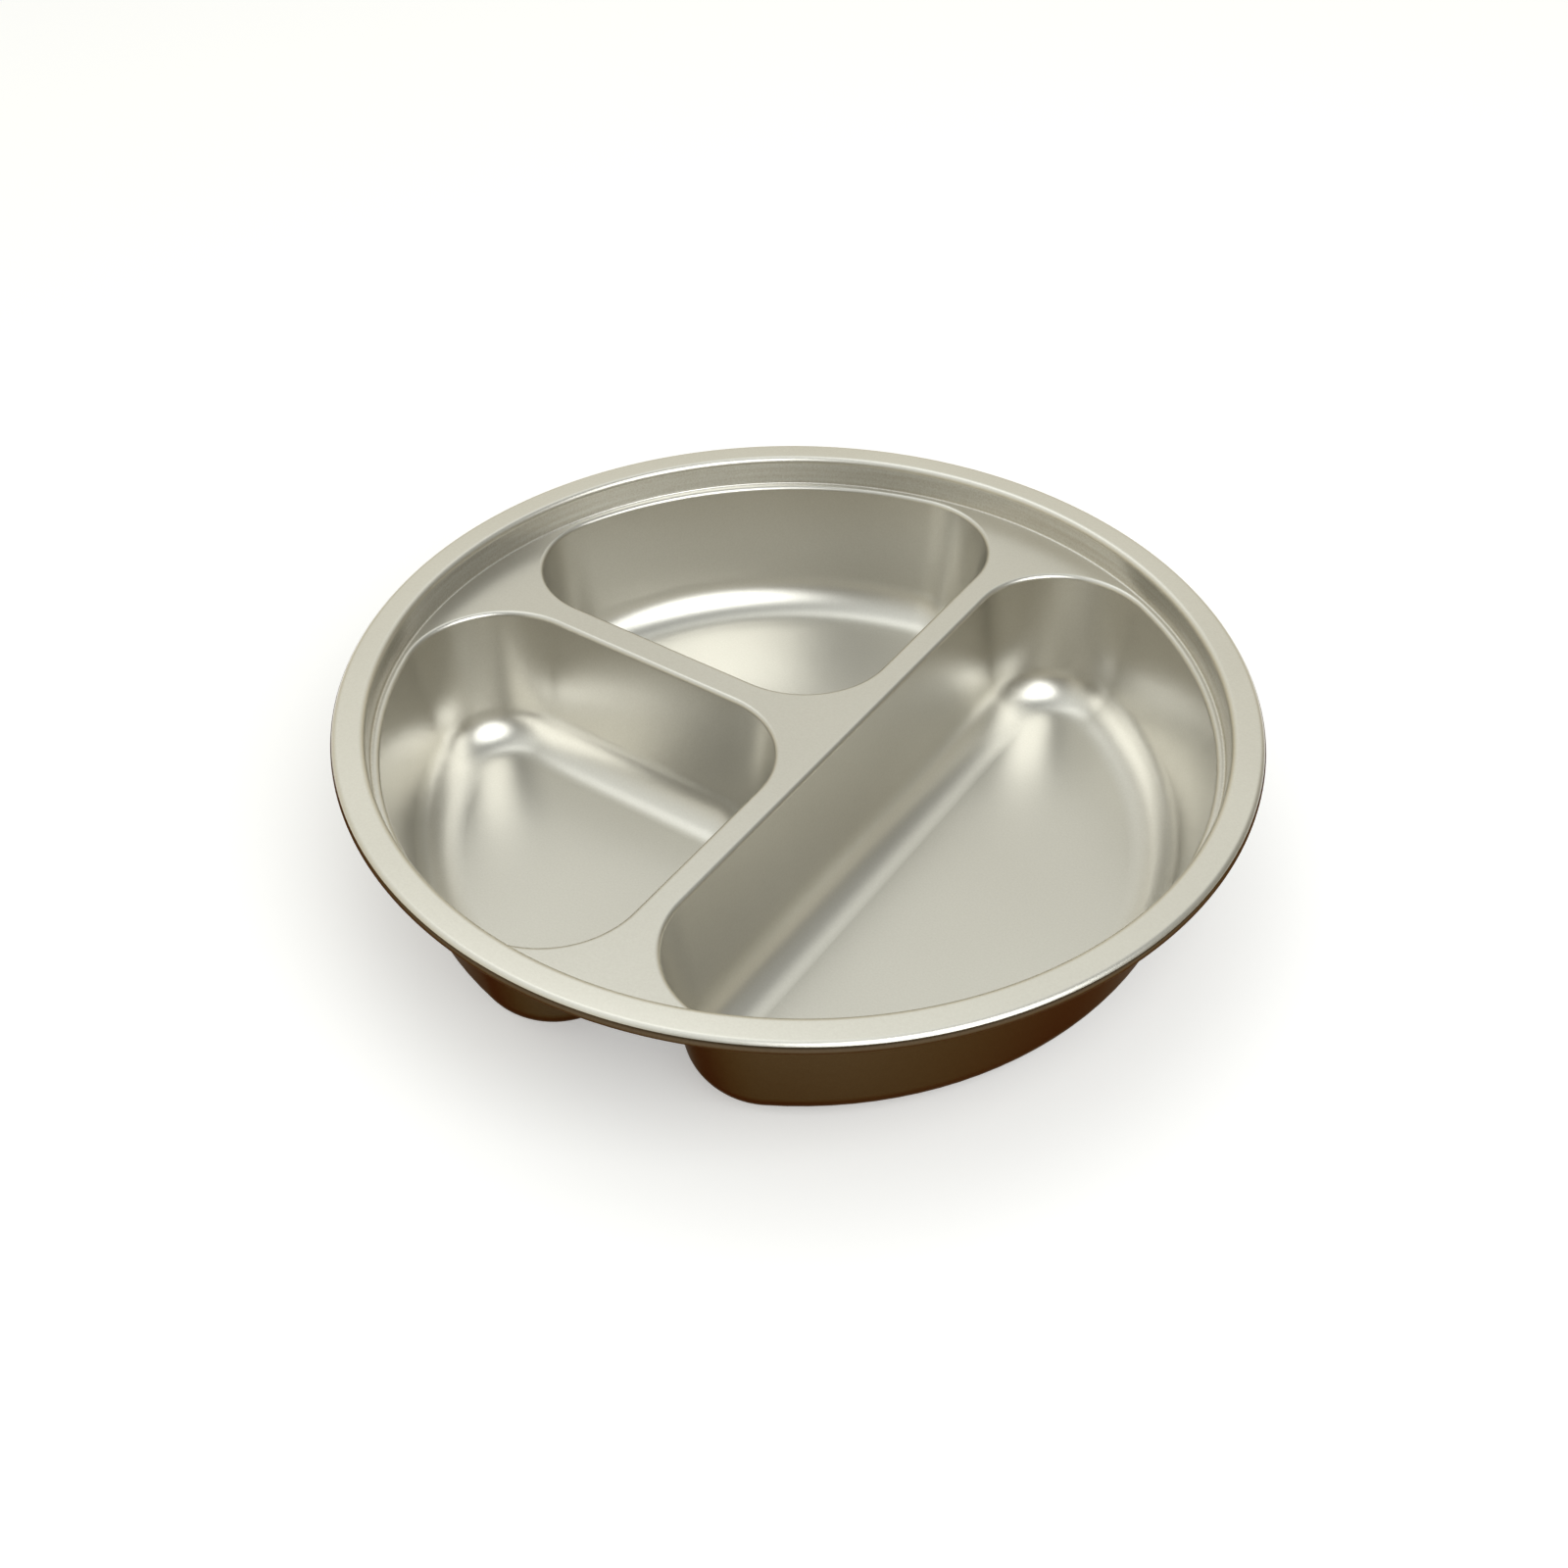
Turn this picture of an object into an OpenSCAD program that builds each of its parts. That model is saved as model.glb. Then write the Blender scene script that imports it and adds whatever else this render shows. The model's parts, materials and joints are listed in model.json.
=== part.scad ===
// Divided compartment plate, pressed from one sheet of steel: a rolled rim, a recess for a lid
// and three wells parted by a long rib and a short one. Millimetres, +Z up. The origin is on the
// table under the plate's centre, the long rib runs along Y and the half-round well is at +X.

/* [Plate] */
// Diameter over the rolled rim
outer_diameter = 230; // [200:1:260]
// Thickness of the steel sheet
sheet = 0.6; // [0.4:0.05:0.8]

/* [Rim and lid recess] */
// Width of the rim, from its outermost edge to the foot of the recess wall
rim_width = 8.5; // [7:0.1:20]
// Height of the rim's crest above the deck
recess_depth = 8.3; // [6:0.1:14]
// Lean of the recess wall from upright, in degrees
recess_angle = 1; // [0:0.5:15]
// Radius where the deck turns up into the recess wall, on the upper face
recess_foot_radius = 0.6; // [0.3:0.1:0.8]
// Radius of the rim's crest, on the upper face
crest_radius = 1.7; // [1:0.1:2.5]
// Fall of the flange from its crest to its edge, in degrees
flange_angle = 1; // [0:0.5:15]
// Outer radius of the rolled edge
roll_radius = 1.8; // [0.8:0.1:2]
// Turn of the rolled edge, in degrees
roll_angle = 200; // [120:5:250]

/* [Ribs and ledge] */
// Distance of the long rib's centre line from the plate's centre
long_rib_offset = 11; // [0:0.5:20]
// Width of the long rib between its two mouth lines, where wall and deck would meet sharp
long_rib_width = 7.2; // [4:0.1:14]
// Width of the short rib between its two mouth lines
short_rib_width = 8.4; // [4:0.1:14]
// Width of the ledge from the foot of the recess wall to the wells' mouth lines
ledge_width = 2.1; // [2:0.1:8]

/* [Wells] */
// Depth of the wells from the deck to their floors
well_depth = 37.5; // [25:0.5:50]
// Lean of the well walls from upright, in degrees
draft_angle = 10; // [4:0.5:16]
// Radius of the lip where the deck turns down into a well, on the upper face
lip_radius = 1.4; // [1:0.1:1.6]
// Radius where a well's wall turns into its floor, on the inner face
floor_bend_radius = 12; // [4:0.5:14]
// Corner radius of the wells in plan, at the mouth line
corner_radius = 24.5; // [20:0.5:32]

/* [Hidden] */
$fn = 120;

// Step between the points of a bend in a section, and of an arc in a plan, in degrees
bend_step_angle = 6;
plan_step_angle = 3;
steel = "#c7c3b7";
centre = [0, 0];

// Levels and radii of the whole plate
deck_z = well_depth + sheet;
outer_radius = outer_diameter / 2;
recess_radius = outer_radius - rim_width;
mouth_radius = recess_radius - ledge_width;

// A bend of the sheet is its middle, the radius of its upper face, its first and last direction, and
// the side of its metal: inside the upper face where the sheet turns over, outside where it turns up.
turns_over = -1;
turns_up = 1;

// Rim section, in radius and height over the deck: the foot of the recess, the crest and the roll
flange_normal = 90 - flange_angle;
foot_middle = [recess_radius + recess_foot_radius * (tan(recess_angle) - 1 / cos(recess_angle)),
    recess_foot_radius];
foot = [foot_middle, recess_foot_radius, -90, -recess_angle, turns_up];
crest_z = recess_depth - crest_radius;
crest_middle = [recess_radius + crest_z * tan(recess_angle) + crest_radius / cos(recess_angle), crest_z];
crest = [crest_middle, crest_radius, 180 - recess_angle, flange_normal, turns_over];
flange_start = at(crest_middle, crest_radius, flange_normal);
flange_run = outer_radius - roll_radius * (1 - cos(flange_normal)) - flange_start.x;
flange_end = flange_start + flange_run * [1, -tan(flange_angle)];
roll_middle = at(flange_end, -roll_radius, flange_normal);
roll = [roll_middle, roll_radius, flange_normal, flange_normal - roll_angle, turns_over];

// Well section, in distance inwards from the mouth line and height over the deck: the lip and the base
lip_inset = lip_radius * (tan(draft_angle) - 1 / cos(draft_angle));
lip = [[lip_inset, -lip_radius], lip_radius, 90, draft_angle, turns_over];
base_z = floor_bend_radius - well_depth;
base_inset = floor_bend_radius / cos(draft_angle) - base_z * tan(draft_angle);
base = [[base_inset, base_z], floor_bend_radius, 180 + draft_angle, 270, turns_up];

// Wells in plan: mouth lines along the ribs, and middles and directions of the rounded corners
half_edge_x = long_rib_offset + long_rib_width / 2;
small_edge_x = long_rib_offset - long_rib_width / 2;
small_edge_y = short_rib_width / 2;
corner_reach = mouth_radius - corner_radius;
half_corner_x = half_edge_x + corner_radius;
half_corner_y = sqrt(corner_reach ^ 2 - half_corner_x ^ 2);
half_angle = atan2(half_corner_y, half_corner_x);
half_rear = [half_corner_x, half_corner_y];
half_front = [half_corner_x, -half_corner_y];
small_corner_x = small_edge_x - corner_radius;
small_corner_y = small_edge_y + corner_radius;
inner_corner = [small_corner_x, small_corner_y];
long_corner = [small_corner_x, sqrt(corner_reach ^ 2 - small_corner_x ^ 2)];
short_corner = [-sqrt(corner_reach ^ 2 - small_corner_y ^ 2), small_corner_y];
long_angle = atan2(long_corner.y, long_corner.x);
short_angle = atan2(short_corner.y, short_corner.x);

// Point at a distance and a direction from a middle
function at(middle, radius, angle) = middle + radius * [cos(angle), sin(angle)];

// Number of steps in an arc, at least one
function steps(from, to, step) = max(1, ceil(abs(to - from) / step));

// Points of an arc from one direction to another, and the same without the last point
function arc(middle, radius, from, to, step) = concat(open_arc(middle, radius, from, to, step),
    [at(middle, radius, to)]);
function open_arc(middle, radius, from, to, step) =
    let (count = steps(from, to, step))
    [for (i = [0:count - 1]) at(middle, radius, from + (to - from) * i / count)];

// Where a bend begins, as the plain edge of the sheet before it
function upper_start(bend) = at(bend[0], bend[1], bend[2]);
function lower_start(bend) = at(bend[0], bend[1] + bend[4] * sheet, bend[2]);

// Upper face of a bend, and its underside in the other direction
function upper(bend) = arc(bend[0], bend[1], bend[2], bend[3], bend_step_angle);
function lower(bend) = arc(bend[0], bend[1] + bend[4] * sheet, bend[3], bend[2], bend_step_angle);

// Outline of the half-round well, a distance inwards from its mouth line
function half_outline(inset) = concat(
    open_arc(centre, mouth_radius - inset, -half_angle, half_angle, plan_step_angle),
    arc(half_rear, corner_radius - inset, half_angle, 180, plan_step_angle),
    open_arc(half_front, corner_radius - inset, 180, 360 - half_angle, plan_step_angle));

// Outline of the small well at the rear, a distance inwards from its mouth line
function small_outline(inset) = concat(
    arc(inner_corner, corner_radius - inset, 270, 360, plan_step_angle),
    open_arc(long_corner, corner_radius - inset, 0, long_angle, plan_step_angle),
    open_arc(centre, mouth_radius - inset, long_angle, short_angle, plan_step_angle),
    arc(short_corner, corner_radius - inset, short_angle, 270, plan_step_angle));

// Ring of the rim, from its section over the deck
module rim_ring(section) {
    color(steel)
        translate([0, 0, deck_z])
            rotate_extrude()
                polygon(section);
}

// Section of a well's wall: lip, leaning wall and the bend into the floor
module well_section() {
    polygon(concat(upper(lip), upper(base), lower(base), lower(lip)));
}

// Stretch of well wall that turns round a middle, with its mouth line at the radius
module wall_turn(middle, radius, from, to) {
    color(steel)
        translate([middle.x, middle.y, deck_z])
            rotate(from)
                rotate_extrude(angle = to - from)
                    translate([radius, 0])
                        mirror([1, 0])
                            well_section();
}

// Stretch of well wall along a straight mouth line, with the well on its left
module wall_run(start, end) {
    along = end - start;
    color(steel)
        translate([start.x, start.y, deck_z])
            rotate(atan2(along.y, along.x))
                rotate([90, 0, 90])
                    linear_extrude(norm(along))
                        well_section();
}

// Floor of a well, standing on the table
module well_floor(outline) {
    color(steel) linear_extrude(sheet) polygon(outline);
}

// A piece of the rear small well, turned over to the front
module at_front() {
    mirror([0, 1, 0]) children();
}

// Rolled outer edge of the rim
module rim_roll() rim_ring(concat(upper(roll), lower(roll)));

// Crest and sloping flange of the rim
module rim_flange() rim_ring(concat(upper(crest), [upper_start(roll), lower_start(roll)], lower(crest)));

// Wall of the lid recess, with the bend at its foot
module recess_wall() rim_ring(concat(upper(foot), [upper_start(crest), lower_start(crest)], lower(foot)));

// Flat deck: the ledge round the wells, the long rib and the short rib
module divider_deck() {
    color(steel)
        translate([0, 0, deck_z - sheet])
            linear_extrude(sheet)
                difference() {
                    circle(foot_middle.x);
                    polygon(half_outline(lip_inset));
                    polygon(small_outline(lip_inset));
                    mirror([0, 1]) polygon(small_outline(lip_inset));
                }
}

// Half-round well: walls along the rim and the long rib, two corners and the floor
module half_well_rim_wall() wall_turn(centre, mouth_radius, -half_angle, half_angle);
module half_well_rib_wall() wall_run([half_edge_x, half_corner_y], [half_edge_x, -half_corner_y]);
module half_well_front_corner() wall_turn(half_front, corner_radius, 180, 360 - half_angle);
module half_well_rear_corner() wall_turn(half_rear, corner_radius, half_angle, 180);
module half_well_floor() well_floor(half_outline(base_inset));

// Small well at the rear: walls along the rim and both ribs, three corners and the floor
module rear_well_rim_wall() wall_turn(centre, mouth_radius, long_angle, short_angle);
module rear_well_long_rib_wall() wall_run([small_edge_x, inner_corner.y], [small_edge_x, long_corner.y]);
module rear_well_short_rib_wall() wall_run([short_corner.x, small_edge_y], [inner_corner.x, small_edge_y]);
module rear_well_long_corner() wall_turn(long_corner, corner_radius, 0, long_angle);
module rear_well_short_corner() wall_turn(short_corner, corner_radius, short_angle, 270);
module rear_well_inner_corner() wall_turn(inner_corner, corner_radius, 270, 360);
module rear_well_floor() well_floor(small_outline(base_inset));

// Small well at the front: the rear one turned over
module front_well_rim_wall() at_front() rear_well_rim_wall();
module front_well_long_rib_wall() at_front() rear_well_long_rib_wall();
module front_well_short_rib_wall() at_front() rear_well_short_rib_wall();
module front_well_long_corner() at_front() rear_well_long_corner();
module front_well_short_corner() at_front() rear_well_short_corner();
module front_well_inner_corner() at_front() rear_well_inner_corner();
module front_well_floor() at_front() rear_well_floor();

rim_roll();
rim_flange();
recess_wall();
divider_deck();
half_well_rim_wall();
half_well_rib_wall();
half_well_front_corner();
half_well_rear_corner();
half_well_floor();
front_well_rim_wall();
front_well_long_rib_wall();
front_well_short_rib_wall();
front_well_long_corner();
front_well_short_corner();
front_well_inner_corner();
front_well_floor();
rear_well_rim_wall();
rear_well_long_rib_wall();
rear_well_short_rib_wall();
rear_well_long_corner();
rear_well_short_corner();
rear_well_inner_corner();
rear_well_floor();
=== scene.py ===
# %% [markdown]
# # A divided steel plate, from one pressed sheet
#
# The real plate is drawn in a press from one round blank of stainless steel. The rim, the recess
# for a lid, the deck with its ribs and the three wells are zones of that one sheet, about half a
# millimetre thick. So every piece below is made the same way: its section is drawn once, as a chain
# of straight runs and bends, then carried round the plate, and given the sheet's thickness last.

# %% Load the fixed frame
import json
from math import atan2, ceil, cos, degrees, radians, sin

import bpy
from mathutils import Matrix, Vector

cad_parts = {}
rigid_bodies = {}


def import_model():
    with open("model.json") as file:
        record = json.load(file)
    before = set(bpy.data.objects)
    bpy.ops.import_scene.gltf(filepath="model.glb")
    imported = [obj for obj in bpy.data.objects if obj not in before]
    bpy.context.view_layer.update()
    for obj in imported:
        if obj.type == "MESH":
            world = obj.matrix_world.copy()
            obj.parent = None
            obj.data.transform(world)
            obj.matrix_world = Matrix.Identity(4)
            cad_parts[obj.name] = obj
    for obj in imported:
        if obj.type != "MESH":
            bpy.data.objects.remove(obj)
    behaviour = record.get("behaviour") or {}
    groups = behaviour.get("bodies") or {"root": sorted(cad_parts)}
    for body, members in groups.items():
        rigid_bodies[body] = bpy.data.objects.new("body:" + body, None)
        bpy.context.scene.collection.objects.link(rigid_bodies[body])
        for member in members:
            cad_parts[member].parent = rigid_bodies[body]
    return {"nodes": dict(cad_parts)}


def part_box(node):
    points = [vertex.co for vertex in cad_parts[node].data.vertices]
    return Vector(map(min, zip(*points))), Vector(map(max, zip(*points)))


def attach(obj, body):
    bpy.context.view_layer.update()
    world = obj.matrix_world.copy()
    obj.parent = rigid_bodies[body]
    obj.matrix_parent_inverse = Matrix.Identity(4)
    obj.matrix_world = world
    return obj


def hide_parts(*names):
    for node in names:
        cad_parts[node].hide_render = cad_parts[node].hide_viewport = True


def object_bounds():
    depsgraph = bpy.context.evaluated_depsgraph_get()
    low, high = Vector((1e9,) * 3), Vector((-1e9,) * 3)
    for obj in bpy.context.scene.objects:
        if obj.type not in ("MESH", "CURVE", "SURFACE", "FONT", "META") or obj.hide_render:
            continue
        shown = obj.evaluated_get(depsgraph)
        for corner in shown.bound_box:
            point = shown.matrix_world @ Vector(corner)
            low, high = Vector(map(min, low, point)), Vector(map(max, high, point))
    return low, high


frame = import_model()
cad_low, cad_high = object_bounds()
MM = 1000
cad_size = [round(MM * length, 1) for length in cad_high - cad_low]
print("frame:", len(frame["nodes"]), "zones,", cad_size, "mm")

# %% [markdown]
# ## Sizes
#
# The frame already holds where each zone begins and ends, so those sizes are read from it and not
# typed again. Only the bends are given here, because a box around a zone doesn't tell its radius.
# All radii are of the upper face of the sheet, the face that is seen from above.

# %% Read the plate's sizes from the frame
deck_low, deck_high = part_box("divider_deck")
sheet = deck_high.z - deck_low.z
deck_z = deck_high.z
floor_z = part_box("half_well_floor")[1].z
deck_radius = deck_high.x
outer_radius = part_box("rim_roll")[1].x
rim_top_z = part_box("rim_flange")[1].z
plate_centre = Vector((0, 0, 0))
print(f"sheet {MM * sheet:.2f} mm, deck {MM * deck_z:.1f} mm high,", end=" ")
print(f"rim {MM * rim_top_z:.1f} mm high")

# %% Name the bends
lip_radius = 0.0014
floor_bend_radius = 0.012
foot_radius = 0.0006
crest_radius = 0.0017
roll_radius = 0.0018
wall_lean = 10
recess_lean = 1
flange_fall = 1
roll_turn = 200
bends = (lip_radius, floor_bend_radius, foot_radius, crest_radius, roll_radius)
print("lip, floor, foot, crest and roll bend at", [round(MM * radius, 1) for radius in bends], "mm")

# %% [markdown]
# ## A pen for sections
#
# A section could be typed as a list of points, but then nobody sees where a bend starts. Here a pen
# draws it as a press-tool drawing reads: go straight for so long, then bend by so much. The pen
# starts from one vertex (a plane merged at its centre), a straight run is an extrude, and a bend is
# a spin about the bend's own centre. The sheet then gets its vertices exactly on the arc.

# %% A pen that draws the section of the sheet
BEND_STEP = 5
UP = Vector((0, 0, 1))


def start_point(name, at):
    """A new mesh of one vertex, left in edit mode with that vertex selected."""
    bpy.ops.object.select_all(action="DESELECT")
    bpy.ops.mesh.primitive_plane_add()
    piece = bpy.context.object
    piece.name = piece.data.name = name
    bpy.ops.object.mode_set(mode="EDIT")
    bpy.ops.mesh.merge(type="CENTER")
    bpy.ops.transform.translate(value=at)
    return piece


def spin(middle, turn, axis, steps):
    """Turns what is selected about an axis and leaves the swept sheet behind.

    Blender's spin counts clockwise as positive, so the turn is handed over with its sign changed.
    """
    bpy.ops.mesh.spin(steps=steps, angle=-radians(turn), center=middle, axis=axis)


class SectionPen:
    """Draws a chain of edges in the XZ plane. Heading is in degrees above the direction across."""

    def __init__(self, name, at, across, heading=0):
        self.sheet = start_point(name, at)
        self.at, self.across, self.heading = Vector(at), Vector(across), heading

    def forward(self):
        slope = radians(self.heading)
        return cos(slope) * self.across + sin(slope) * UP

    def straight(self, length):
        step = length * self.forward()
        bpy.ops.mesh.extrude_region_move(TRANSFORM_OT_translate={"value": step})
        self.at = self.at + step

    def bend(self, radius, turn):
        axis = self.across.cross(UP)
        side = 1 if turn > 0 else -1
        middle = self.at + side * radius * axis.cross(self.forward())
        spin(middle, turn, axis, ceil(abs(turn) / BEND_STEP))
        self.at = middle + Matrix.Rotation(radians(turn), 3, axis) @ (self.at - middle)
        self.heading += turn


print("pen ready, one vertex for every", BEND_STEP, "degrees of bend")

# %% [markdown]
# ## Carrying a section round
#
# The rim is a full turn about the plate's centre. A well's mouth is a road of straight lines and
# arcs: the section is extruded along each straight rib and spun about the middle of each rounded
# corner, and after the last corner it meets its own start. Merging doubles closes that seam. A
# Screw modifier or a bevelled curve would do for the rim, but not for a mouth with mixed corners.

# %% Sweep what is selected
RIM_STEPS = 288
PLAN_STEP = 3


def carry_round(middle, turn):
    spin(middle, turn, UP, ceil(abs(turn) / PLAN_STEP))


def carry_along(x, y):
    bpy.ops.mesh.extrude_region_move(TRANSFORM_OT_translate={"value": (x, y, 0)})


def carry_full_turn():
    bpy.ops.mesh.select_all(action="SELECT")
    spin(plate_centre, 360, UP, RIM_STEPS)


print("full turn in", RIM_STEPS, "steps, corners in steps of", PLAN_STEP, "degrees")

# %% [markdown]
# ## From a swept sheet to a piece
#
# A swept sheet has no thickness and its faces may point either way. Its doubles are merged, its
# normals made to agree, and then turned so that the flattest, highest face looks up, because the
# upper face of the sheet is the one that was drawn. Solidify adds the metal below that face only,
# so the face that was measured stays where it is. The underside takes the second material slot.

# %% Finish a sheet
SEAM = 1e-6
SMOOTH_UNDER = 30


def close_seams(piece):
    bpy.ops.mesh.select_all(action="SELECT")
    bpy.ops.mesh.remove_doubles(threshold=SEAM)
    bpy.ops.mesh.normals_make_consistent(inside=False)
    bpy.ops.object.mode_set(mode="OBJECT")
    flattest = max(piece.data.polygons, key=lambda f: (round(abs(f.normal.z), 3), f.center.z))
    if flattest.normal.z < 0:
        bpy.ops.object.mode_set(mode="EDIT")
        bpy.ops.mesh.flip_normals()
        bpy.ops.object.mode_set(mode="OBJECT")


def give_thickness(piece, upper, under):
    bpy.ops.object.select_all(action="DESELECT")
    piece.select_set(True)
    bpy.context.view_layer.objects.active = piece
    piece.data.materials.append(upper)
    piece.data.materials.append(under)
    wall = piece.modifiers.new("Sheet", "SOLIDIFY")
    wall.thickness, wall.offset, wall.use_even_offset = sheet, -1, True
    wall.material_offset, wall.material_offset_rim = 1, 1
    bpy.ops.object.modifier_apply(modifier=wall.name)
    bpy.ops.object.shade_smooth_by_angle(angle=radians(SMOOTH_UNDER))


def seat(piece, *zones):
    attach(piece, "root")
    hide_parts(*zones)
    heights = [corner.co.z for corner in piece.data.vertices]
    tall = max(heights) - min(heights)
    print(f"{piece.name}: {len(piece.data.polygons)} faces, {MM * tall:.1f} mm tall")


print(f"each sheet gets {MM * sheet:.2f} mm of metal below the face that was drawn")

# %% [markdown]
# ## Finish of the steel
#
# The plate is satin steel: a metal with a broad, soft highlight, a very fine even grain, and a warm
# grey that drifts a little over the sheet. Grain as geometry would need millions of faces, so it is
# a fine noise that moves the bump and, a very little, the tint. A second, slow noise moves the tint
# and the roughness, as hand-finished steel does.
#
# The tint isn't the same everywhere. The deck and the wells are a little darker than the rim: that
# is painted shade for the recess they lie in. The wall of the recess has darker bands that run
# round the plate, painted reflection of a dark room, so there the drift is squeezed in height. The
# outside of
# the wells is much darker and browner: painted shade and painted reflection of dark surroundings,
# put into a dark tint of its own, so it looks so from every side.

# %% A satin steel material
RIM_TINTS = (0.750, 0.731, 0.680, 1), (0.840, 0.826, 0.774, 1)
# The deck and the wells are tinted darker than the rim: painted shade of the recess they lie in.
WELL_PAINTED_SHADE_TINTS = (0.670, 0.652, 0.605, 1), (0.755, 0.742, 0.697, 1)
# The recess wall's wide, darker range is drawn as bands round the plate: painted reflection.
RECESS_PAINTED_REFLECTION_TINTS = (0.590, 0.555, 0.490, 1), (0.830, 0.830, 0.800, 1)
# The outside's dark brown tint and brown glance: painted shade and painted reflection of dark
# surroundings.
OUTER_PAINTED_SHADE_TINTS = (0.085, 0.058, 0.034, 1), (0.115, 0.082, 0.050, 1)
OUTER_PAINTED_REFLECTION_GLANCE = (0.35, 0.27, 0.19, 1)
GRAIN, DRIFT = 1800, 18
GRAIN_STRENGTH = 0.5
SPECKLE_LOW, SPECKLE_HIGH = 0.5, 1.5
# How tightly the recess wall's bands of painted reflection are squeezed in height.
RECESS_REFLECTION_BANDS = 40


def node(tree, kind, **sockets):
    made = tree.nodes.new(kind)
    for name, value in sockets.items():
        made.inputs[name.replace("_", " ")].default_value = value
    return made


def satin(name, tints, roughness, grain_depth, height_squeeze=1):
    """Satin metal with a fine grain and a slow drift; the last argument squeezes the drift in
    height, which the recess wall uses for bands of painted reflection.
    """
    steel = bpy.data.materials.new(name)
    steel.use_nodes = True
    tree = steel.node_tree
    surface = tree.nodes["Principled BSDF"]
    surface.inputs["Metallic"].default_value = 1
    place = tree.nodes.new("ShaderNodeTexCoord")
    squeeze = node(tree, "ShaderNodeMapping", Scale=(1, 1, height_squeeze))
    drift = node(tree, "ShaderNodeTexNoise", Scale=DRIFT, Detail=1)
    speckle = tree.nodes.new("ShaderNodeMath")
    speckle.operation = "ADD"
    spread = node(tree, "ShaderNodeMapRange", From_Min=SPECKLE_LOW, From_Max=SPECKLE_HIGH)
    tint = tree.nodes.new("ShaderNodeMix")
    tint.data_type = "RGBA"
    tint.inputs["A"].default_value, tint.inputs["B"].default_value = tints
    rough = node(tree, "ShaderNodeMapRange", To_Min=roughness[0], To_Max=roughness[1])
    grain = node(tree, "ShaderNodeTexNoise", Scale=GRAIN, Detail=2)
    bump = node(tree, "ShaderNodeBump", Strength=GRAIN_STRENGTH, Distance=grain_depth)
    link = tree.links.new
    link(place.outputs["Object"], squeeze.inputs["Vector"])
    link(squeeze.outputs["Vector"], drift.inputs["Vector"])
    link(drift.outputs["Fac"], speckle.inputs[0])
    link(grain.outputs["Fac"], speckle.inputs[1])
    link(speckle.outputs["Value"], spread.inputs["Value"])
    link(spread.outputs["Result"], tint.inputs["Factor"])
    link(tint.outputs["Result"], surface.inputs["Base Color"])
    link(drift.outputs["Fac"], rough.inputs["Value"])
    link(rough.outputs["Result"], surface.inputs["Roughness"])
    link(place.outputs["Object"], grain.inputs["Vector"])
    link(grain.outputs["Fac"], bump.inputs["Height"])
    link(bump.outputs["Normal"], surface.inputs["Normal"])
    return steel


satin_steel = satin("satin_steel", RIM_TINTS, roughness=(0.30, 0.34), grain_depth=2e-5)
# Deck and wells: darker than the rim, as painted shade.
well_steel_painted_shade = satin("well_steel_painted_shade", WELL_PAINTED_SHADE_TINTS, roughness=(0.28, 0.31), grain_depth=2e-5)
# Recess wall: bands of painted reflection, darker than the rim.
recess_steel_painted_reflection = satin(
    "recess_steel_painted_reflection", RECESS_PAINTED_REFLECTION_TINTS, roughness=(0.28, 0.34), grain_depth=2e-6, height_squeeze=RECESS_REFLECTION_BANDS
)
# Outside of the wells and underside of the sheet: a dark brown tint, painted shade and painted
# reflection.
outer_steel_painted_shade = satin("outer_steel_painted_shade", OUTER_PAINTED_SHADE_TINTS, roughness=(0.30, 0.38), grain_depth=4e-6)
outer_surface = outer_steel_painted_shade.node_tree.nodes["Principled BSDF"]
outer_surface.inputs["Specular Tint"].default_value = OUTER_PAINTED_REFLECTION_GLANCE
print("finishes:", satin_steel.name, well_steel_painted_shade.name, recess_steel_painted_reflection.name, outer_steel_painted_shade.name)

# %% [markdown]
# ## Rim
#
# The rim has three zones: the wall of the lid recess with the tight bend at its foot, the flange
# with its rounded crest, and the rolled edge that keeps the sheet from cutting a hand. Each border
# lies a little inside a straight run, because there both neighbours have the same normal and the
# shading runs on across the border. The flange's pen starts where the recess wall's pen stopped.
# The roll turns the sheet's upper face outwards and then down. Only the shoulder of the roll, where
# it faces up, is pale. The rest of it takes the outside's dark tint as painted shade, which draws
# the thin dark line under the rim.

# %% Work out the straight runs of the rim
BORDER = 0.0001
recess_turn = 90 - recess_lean
crest_turn = recess_turn + flange_fall
foot_rise = (foot_radius + crest_radius) * (1 - cos(radians(recess_turn)))
recess_run = (rim_top_z - deck_z - foot_rise) / sin(radians(recess_turn))
flange_end = outer_radius - roll_radius * (1 - sin(radians(flange_fall)))
print(f"recess wall runs {MM * recess_run:.2f} mm, flange ends at radius {MM * flange_end:.2f} mm")

# %% Recess wall
OUTWARDS = Vector((1, 0, 0))
pen = SectionPen("recess_wall_sheet", (deck_radius - BORDER, 0, deck_z), OUTWARDS)
deck_rim_start = pen.at.copy()
pen.straight(BORDER)
pen.bend(foot_radius, recess_turn)
pen.straight(recess_run - BORDER)
recess_wall = pen.sheet
carry_full_turn()
close_seams(recess_wall)
give_thickness(recess_wall, recess_steel_painted_reflection, outer_steel_painted_shade)
seat(recess_wall, "recess_wall")

# %% Flange with its crest
pen = SectionPen("flange_sheet", pen.at, OUTWARDS, pen.heading)
pen.straight(BORDER)
pen.bend(crest_radius, -crest_turn)
pen.straight((flange_end - pen.at.x) / cos(radians(flange_fall)) - BORDER)
rim_flange = pen.sheet
carry_full_turn()
close_seams(rim_flange)
give_thickness(rim_flange, satin_steel, outer_steel_painted_shade)
seat(rim_flange, "rim_flange")

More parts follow.
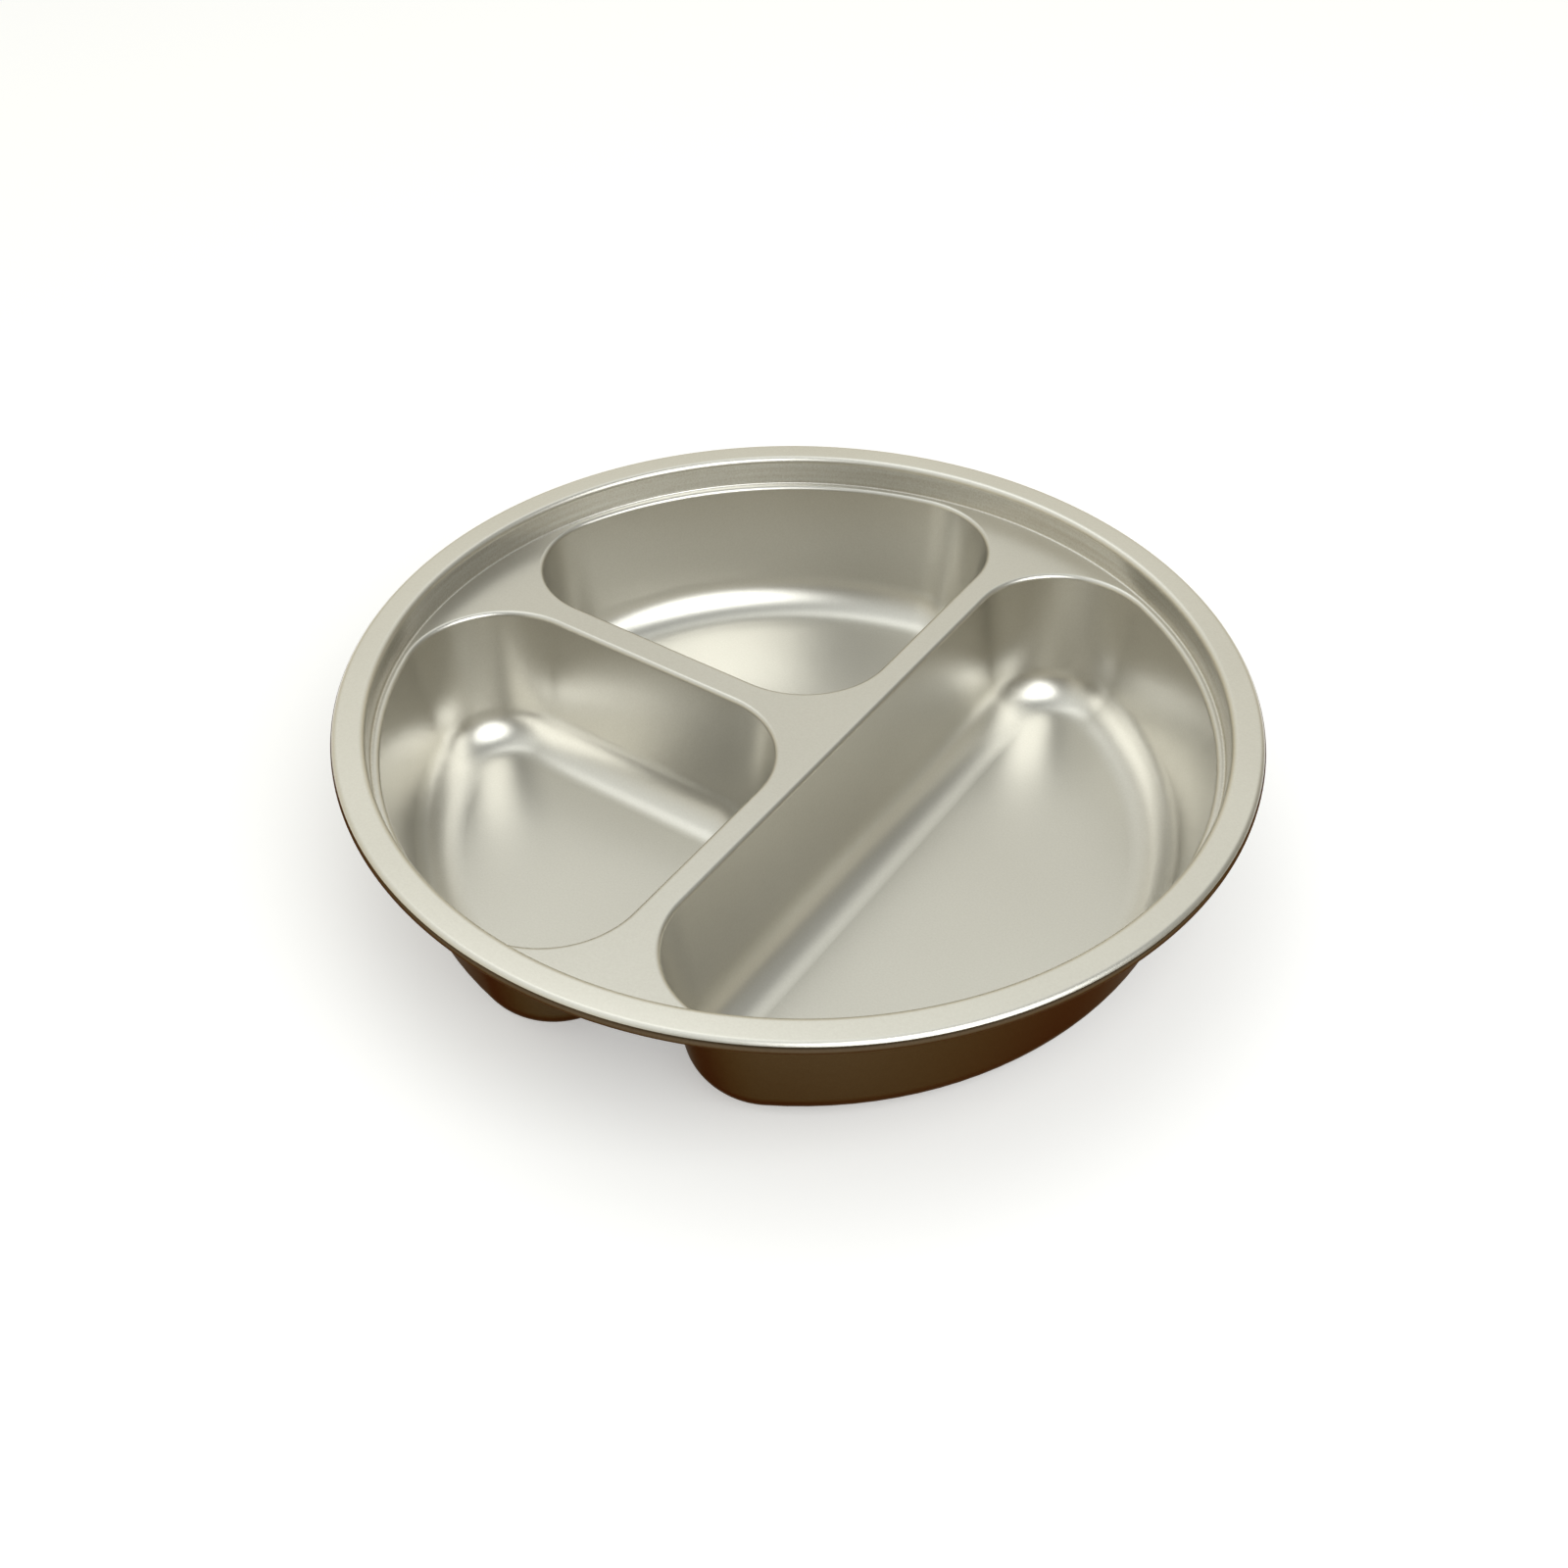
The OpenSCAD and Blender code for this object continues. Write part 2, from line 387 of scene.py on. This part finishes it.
# %% Rolled edge
# Faces of the roll that point less than this far up get the dark outside tint: painted shade.
PAINTED_SHADE_BELOW_NORMAL_Z = 0.6
pen = SectionPen("rolled_edge_sheet", pen.at, OUTWARDS, pen.heading)
pen.straight(BORDER)
pen.bend(roll_radius, -roll_turn)
rim_roll = pen.sheet
carry_full_turn()
close_seams(rim_roll)
give_thickness(rim_roll, satin_steel, outer_steel_painted_shade)
# Faces of the roll that look sideways or down take the dark tint: painted shade under the rim.
for face in rim_roll.data.polygons:
    if face.normal.z < PAINTED_SHADE_BELOW_NORMAL_Z:
        face.material_index = 1
seat(rim_roll, "rim_roll")

# %% [markdown]
# ## Wells
#
# All wells share one section: a small lip where the deck turns down, a wall that leans so that the
# press tool can leave, and a wide bend into the flat floor. Only the road differs. The half-round
# well has two rounded corners, the small ones have three. The middles of the corners come from the
# ends of the straight rib walls in the frame.

# %% Where the wells' mouths run
half_low, half_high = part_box("half_well_rib_wall")
rear_long_low, rear_long_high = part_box("rear_well_long_rib_wall")
rear_short_low, rear_short_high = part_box("rear_well_short_rib_wall")
half_edge_x = half_low.x
small_edge_x = rear_long_high.x
lip_corner_radius = small_edge_x - rear_short_high.x
half_rear = Vector((half_edge_x + lip_corner_radius, half_high.y, 0))
half_front = Vector((half_rear.x, -half_rear.y, 0))
inner_corner = Vector((rear_short_high.x, rear_long_low.y, 0))
long_corner = Vector((rear_short_high.x, rear_long_high.y, 0))
short_corner = Vector((rear_short_low.x, rear_long_low.y, 0))
half_angle, long_angle, short_angle = (
    degrees(atan2(corner.y, corner.x)) for corner in (half_rear, long_corner, short_corner)
)
print(f"corners of {MM * lip_corner_radius:.1f} mm,", end=" ")
print(f"half well spans {2 * half_angle:.0f} degrees of the rim")

# %% Section of a well's wall
wall_turn = 90 - wall_lean
bend_fall = (lip_radius + floor_bend_radius) * (1 - cos(radians(wall_turn)))
wall_run = (deck_z - floor_z - bend_fall) / sin(radians(wall_turn))


def draw_well_section(name, x, y, across):
    pen = SectionPen(name, Vector((x, y, deck_z)) - BORDER * across, across)
    start = pen.at.copy()
    pen.straight(BORDER)
    pen.bend(lip_radius, -wall_turn)
    pen.straight(wall_run)
    pen.bend(floor_bend_radius, wall_turn)
    pen.straight(BORDER)
    return pen.sheet, start, pen.at.copy()


def carry_round_half_well():
    carry_along(0, half_front.y - half_rear.y)
    carry_round(half_front, 180 - half_angle)
    carry_round(plate_centre, 2 * half_angle)
    carry_round(half_rear, 180 - half_angle)


def carry_round_rear_well():
    carry_along(0, long_corner.y - inner_corner.y)
    carry_round(long_corner, long_angle)
    carry_round(plate_centre, short_angle - long_angle)
    carry_round(short_corner, 270 - short_angle)
    carry_along(inner_corner.x - short_corner.x, 0)
    carry_round(inner_corner, 90)


print(f"wall runs {MM * wall_run:.2f} mm between its bends")

# %% Wall of the half-round well
half_wall, half_mouth_start, half_floor_start = draw_well_section(
    "half_wall_sheet", half_edge_x, half_rear.y, OUTWARDS
)
bpy.ops.mesh.select_all(action="SELECT")
carry_round_half_well()
close_seams(half_wall)
give_thickness(half_wall, well_steel_painted_shade, outer_steel_painted_shade)
seat(
    half_wall,
    "half_well_rim_wall", "half_well_rib_wall", "half_well_front_corner", "half_well_rear_corner",
)

# %% Wall of the small rear well
rear_wall, rear_mouth_start, rear_floor_start = draw_well_section(
    "rear_wall_sheet", small_edge_x, inner_corner.y, -OUTWARDS
)
bpy.ops.mesh.select_all(action="SELECT")
carry_round_rear_well()
close_seams(rear_wall)
print(f"{rear_wall.name}: {len(rear_wall.data.polygons)} faces, still a bare sheet")

# %% [markdown]
# The small front well is the rear one in a mirror. It is modelled once and copied while it is still
# a bare sheet: a negative scale turns its faces inside out, so its normals are set right before
# both copies get their thickness.


# %% Mirror the small well to the front
def copy_to_front(piece, name):
    bpy.ops.object.select_all(action="DESELECT")
    piece.select_set(True)
    bpy.context.view_layer.objects.active = piece
    bpy.ops.object.duplicate(linked=False)
    copy = bpy.context.object
    copy.name = copy.data.name = name
    bpy.ops.object.mode_set(mode="EDIT")
    bpy.ops.mesh.select_all(action="SELECT")
    bpy.ops.transform.resize(value=(1, -1, 1), center_override=(0, 0, 0))
    close_seams(copy)
    return copy


front_wall = copy_to_front(rear_wall, "front_wall_sheet")
STRETCHES = (
    "rim_wall", "long_rib_wall", "short_rib_wall", "long_corner", "short_corner", "inner_corner",
)
for wall, side in ((rear_wall, "rear"), (front_wall, "front")):
    give_thickness(wall, well_steel_painted_shade, outer_steel_painted_shade)
    seat(wall, *(f"{side}_well_{stretch}" for stretch in STRETCHES))

# %% [markdown]
# ## Floors
#
# A floor is the flat left inside the bend. One vertex is carried round the same road as the wall's
# section, from where that section ended, so floor and wall share every point of their border. Fill
# closes the loop with flat faces.


# %% Flat floors of the wells
def fill_flat(piece):
    bpy.ops.mesh.select_all(action="SELECT")
    bpy.ops.mesh.remove_doubles(threshold=SEAM)
    bpy.ops.mesh.fill(use_beauty=True)
    close_seams(piece)


half_floor = start_point("half_floor_sheet", half_floor_start)
carry_round_half_well()
fill_flat(half_floor)
rear_floor = start_point("rear_floor_sheet", rear_floor_start)
carry_round_rear_well()
fill_flat(rear_floor)
front_floor = copy_to_front(rear_floor, "front_floor_sheet")
for floor, side in ((half_floor, "half"), (rear_floor, "rear"), (front_floor, "front")):
    give_thickness(floor, well_steel_painted_shade, outer_steel_painted_shade)
    seat(floor, f"{side}_well_floor")

# %% [markdown]
# ## Deck
#
# The deck is what the press leaves flat at one level: the narrow ledge round the wells, the long
# rib and the short rib. It is a flat face with three holes, so its four border loops are drawn in
# one mesh, each with the road of its neighbour, and filled together.


# %% Deck with the ribs
def add_loop(at):
    bpy.ops.mesh.select_all(action="DESELECT")
    bpy.ops.mesh.primitive_plane_add()
    bpy.ops.mesh.merge(type="CENTER")
    bpy.ops.transform.translate(value=at)


deck = start_point("deck_sheet", deck_rim_start)
spin(plate_centre, 360, UP, RIM_STEPS)
add_loop(half_mouth_start)
carry_round_half_well()
add_loop(rear_mouth_start)
carry_round_rear_well()
bpy.ops.mesh.select_linked()
bpy.ops.mesh.duplicate()
bpy.ops.transform.resize(value=(1, -1, 1), center_override=(0, 0, 0))
fill_flat(deck)
give_thickness(deck, well_steel_painted_shade, outer_steel_painted_shade)
seat(deck, "divider_deck")

# %% [markdown]
# ## Camera
#
# The camera stands where the photograph was taken from. Its angles, distance and lens were fitted
# to the outlines of the rim, the mouths and the wells in the photograph, and they are measured from
# the middle of the deck, because that is the level most of those outlines lie on.

# %% Camera at the photograph's angle
VIEW_AZIMUTH, VIEW_ELEVATION, VIEW_ROLL = radians(33.584), radians(42.041), radians(0.445)
VIEW_DISTANCE = 0.46955
VIEW_RIGHT, VIEW_UP = -0.0034994, -0.0174149
PHOTO_WIDTH, PHOTO_FOCUS = 1600, 1898.87
SENSOR_WIDTH = 36
back = Vector((
    sin(VIEW_AZIMUTH) * cos(VIEW_ELEVATION),
    -cos(VIEW_AZIMUTH) * cos(VIEW_ELEVATION),
    sin(VIEW_ELEVATION),
))
level = Vector((cos(VIEW_AZIMUTH), sin(VIEW_AZIMUTH), 0))
upright = back.cross(level)
right = cos(VIEW_ROLL) * level + sin(VIEW_ROLL) * upright
above = cos(VIEW_ROLL) * upright - sin(VIEW_ROLL) * level
bpy.ops.object.camera_add()
camera = bpy.context.object
camera.matrix_world = Matrix((right, above, back)).transposed().to_4x4()
deck_middle = Vector((0, 0, deck_z))
camera.location = deck_middle + VIEW_DISTANCE * back + VIEW_RIGHT * right + VIEW_UP * above
camera.data.sensor_width = SENSOR_WIDTH
camera.data.lens = SENSOR_WIDTH * PHOTO_FOCUS / PHOTO_WIDTH
bpy.context.scene.camera = camera
bpy.context.scene.view_settings.view_transform = "Standard"
print(f"camera {camera.data.lens:.1f} mm, {camera.location.length:.3f} m away")

# %% [markdown]
# ## Floor under the plate
#
# The plate stands on a plain white floor. The floor is a diffuse white that takes the plate's soft
# shadow. A little emission lifts it to white for the eye and for reflections alike, so the steel
# shows the same floor that the camera sees, and no more light falls on the plate for it.

# %% White floor
FLOOR_SIZE = 8.0
FLOOR_GAP = 0.0002
FLOOR_LIFT = 0.36
PAPER_WHITE = (0.90, 0.90, 0.92, 1)
bpy.ops.object.select_all(action="DESELECT")
bpy.ops.mesh.primitive_plane_add(size=FLOOR_SIZE, location=(0, 0, cad_low.z - FLOOR_GAP))
ground = bpy.context.object
ground.name = "white_floor"
paper = bpy.data.materials.new("white_paper")
paper.use_nodes = True
tree = paper.node_tree
tree.nodes.clear()
rays = tree.nodes.new("ShaderNodeLightPath")
seen = tree.nodes.new("ShaderNodeMath")
seen.operation = "MAXIMUM"
seen_through = tree.nodes.new("ShaderNodeMath")
seen_through.operation = "MAXIMUM"
lift = tree.nodes.new("ShaderNodeMath")
lift.operation = "MULTIPLY"
lift.inputs[1].default_value = FLOOR_LIFT
matt = node(tree, "ShaderNodeBsdfDiffuse", Color=PAPER_WHITE)
glow = node(tree, "ShaderNodeEmission", Color=(1, 1, 1, 1))
both = tree.nodes.new("ShaderNodeAddShader")
out = tree.nodes.new("ShaderNodeOutputMaterial")
tree.links.new(rays.outputs["Is Camera Ray"], seen.inputs[0])
tree.links.new(rays.outputs["Is Glossy Ray"], seen.inputs[1])
tree.links.new(seen.outputs["Value"], seen_through.inputs[0])
tree.links.new(rays.outputs["Is Transmission Ray"], seen_through.inputs[1])
tree.links.new(seen_through.outputs["Value"], lift.inputs[0])
tree.links.new(lift.outputs["Value"], glow.inputs["Strength"])
tree.links.new(matt.outputs["BSDF"], both.inputs[0])
tree.links.new(glow.outputs["Emission"], both.inputs[1])
tree.links.new(both.outputs["Shader"], out.inputs["Surface"])
ground.data.materials.append(paper)
print("floor of", FLOOR_SIZE, "m at", round(MM * ground.location.z, 2), "mm")

# %% [markdown]
# ## Light
#
# Satin metal shows its surroundings as soft bands, so the light is what gives the wells their
# shape. The dome is warm and dim near the horizon and pale overhead, like a room with a pale
# ceiling. One wide side of it, to the right of the camera, is dimmer still. Walls that lean towards
# that side turn dark and the ones across from it stay light. A picture of a real room would do the
# same, but a ramp by height and one soft patch can be read and changed. A large softbox over the
# right shoulder of the camera gives the spots in the corners, and a small one behind the plate
# lights the rear floor.

# %% Dome of a pale ceiling over a warm room
DOME = (
    (0, (0.520, 0.455, 0.300, 1)),
    (20, (0.555, 0.502, 0.370, 1)),
    (32, (0.605, 0.575, 0.488, 1)),
    (42, (0.675, 0.672, 0.630, 1)),
    (52, (0.765, 0.778, 0.740, 1)),
    (64, (0.850, 0.872, 0.830, 1)),
    (90, (0.920, 0.945, 0.910, 1)),
)
DIM_SIDE, DIM_HEIGHT = 51, 10.4
DIM_FULL, DIM_NONE = 66, 91
DIM_LEFT = 0.4


def seen_from_plate(side, height):
    """Direction from the plate; side counts in degrees from the camera towards its right."""
    to_camera = Vector((back.x, back.y, 0)).normalized()
    flat = cos(radians(side)) * to_camera + sin(radians(side)) * level
    return cos(radians(height)) * flat + sin(radians(height)) * UP


dome = bpy.data.worlds.new("studio_dome")
bpy.context.scene.world = dome
dome.use_nodes = True
tree = dome.node_tree
sky = tree.nodes["Background"]
around = tree.nodes.new("ShaderNodeTexCoord")
axes = tree.nodes.new("ShaderNodeSeparateXYZ")
ramp = tree.nodes.new("ShaderNodeValToRGB")
for i, (height, colour) in enumerate(DOME):
    stop = ramp.color_ramp.elements[i] if i < 2 else ramp.color_ramp.elements.new(0)
    stop.position, stop.color = sin(radians(height)), colour
to_dim_side = tree.nodes.new("ShaderNodeVectorMath")
to_dim_side.operation = "DOT_PRODUCT"
to_dim_side.inputs[1].default_value = seen_from_plate(DIM_SIDE, DIM_HEIGHT)
dimming = node(
    tree, "ShaderNodeMapRange", To_Min=1, To_Max=DIM_LEFT,
    From_Min=cos(radians(DIM_NONE)), From_Max=cos(radians(DIM_FULL)),
)
dimming.interpolation_type = "SMOOTHSTEP"
tree.links.new(around.outputs["Generated"], axes.inputs["Vector"])
tree.links.new(around.outputs["Generated"], to_dim_side.inputs[0])
tree.links.new(axes.outputs["Z"], ramp.inputs["Fac"])
tree.links.new(to_dim_side.outputs["Value"], dimming.inputs["Value"])
tree.links.new(ramp.outputs["Color"], sky.inputs["Color"])
tree.links.new(dimming.outputs["Result"], sky.inputs["Strength"])
print("dome stops at", [height for height, _ in DOME], "degrees, dim side at", DIM_SIDE)

# %% Two soft lamps
LAMP_DISTANCE = 1.2
LAMP_COLOUR = (0.98, 1, 0.98)


def hang_softbox(name, side, height, size, watts):
    bpy.ops.object.light_add(type="AREA", location=LAMP_DISTANCE * seen_from_plate(side, height))
    lamp = bpy.context.object
    lamp.name = name
    lamp.data.shape, lamp.data.size, lamp.data.energy = "DISK", size, watts
    lamp.data.color = LAMP_COLOUR
    lamp.rotation_euler = lamp.location.to_track_quat("Z", "Y").to_euler()
    print(f"{name}: {watts} W over {size} m")


hang_softbox("shoulder_softbox", side=36, height=50, size=1.08, watts=6.2)
hang_softbox("rear_softbox", side=211, height=66, size=0.60, watts=0.45)
